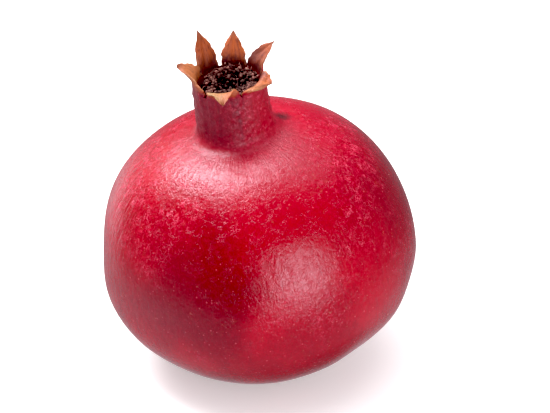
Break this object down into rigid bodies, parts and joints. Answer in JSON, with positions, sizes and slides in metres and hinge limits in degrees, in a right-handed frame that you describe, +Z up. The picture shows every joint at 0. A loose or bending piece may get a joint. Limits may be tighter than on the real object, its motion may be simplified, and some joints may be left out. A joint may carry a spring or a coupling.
{
  "type": "pomegranate",
  "caption": "Whole ripe pomegranate resting on its base, with a leathery red rind, a short calyx neck, a crown of dry lobes and dried stamens inside.",
  "frame": {"origin": "middle of the small flat that the fruit rests on, beside the stalk's hollow", "axes": "+Z up from the flat; the crown leans 7.3 degrees towards -X and 7 degrees towards -Y, so -Y is the side the crown tips towards"},
  "size_m": [0.0948, 0.0948, 0.1083],
  "materials": {
    "rind": "waxy skin with a soft sheen",
    "dried_stamens": "dry and matte",
    "stalk_wood": "dry and matte"
  },
  "bodies": {
    "root": {"fruit": "rind", "style": "dried_stamens", "stalk_stub": "stalk_wood", "stamen_outer_01": "dried_stamens", "stamen_outer_02": "dried_stamens", "stamen_outer_03": "dried_stamens", "stamen_outer_04": "dried_stamens", "stamen_outer_05": "dried_stamens", "stamen_outer_06": "dried_stamens", "stamen_outer_07": "dried_stamens", "stamen_outer_08": "dried_stamens", "stamen_outer_09": "dried_stamens", "stamen_outer_10": "dried_stamens", "stamen_outer_11": "dried_stamens", "stamen_outer_12": "dried_stamens", "stamen_outer_13": "dried_stamens", "stamen_outer_14": "dried_stamens", "stamen_outer_15": "dried_stamens", "stamen_outer_16": "dried_stamens", "stamen_outer_17": "dried_stamens", "stamen_outer_18": "dried_stamens", "stamen_outer_19": "dried_stamens", "stamen_outer_20": "dried_stamens", "stamen_middle_01": "dried_stamens", "stamen_middle_02": "dried_stamens", "stamen_middle_03": "dried_stamens", "stamen_middle_04": "dried_stamens", "stamen_middle_05": "dried_stamens", "stamen_middle_06": "dried_stamens", "stamen_middle_07": "dried_stamens", "stamen_middle_08": "dried_stamens", "stamen_middle_09": "dried_stamens", "stamen_middle_10": "dried_stamens", "stamen_middle_11": "dried_stamens", "stamen_middle_12": "dried_stamens", "stamen_middle_13": "dried_stamens", "stamen_middle_14": "dried_stamens", "stamen_middle_15": "dried_stamens", "stamen_inner_01": "dried_stamens", "stamen_inner_02": "dried_stamens", "stamen_inner_03": "dried_stamens", "stamen_inner_04": "dried_stamens", "stamen_inner_05": "dried_stamens", "stamen_inner_06": "dried_stamens", "stamen_inner_07": "dried_stamens", "stamen_inner_08": "dried_stamens", "stamen_inner_09": "dried_stamens"}
  },
  "joints": []
}
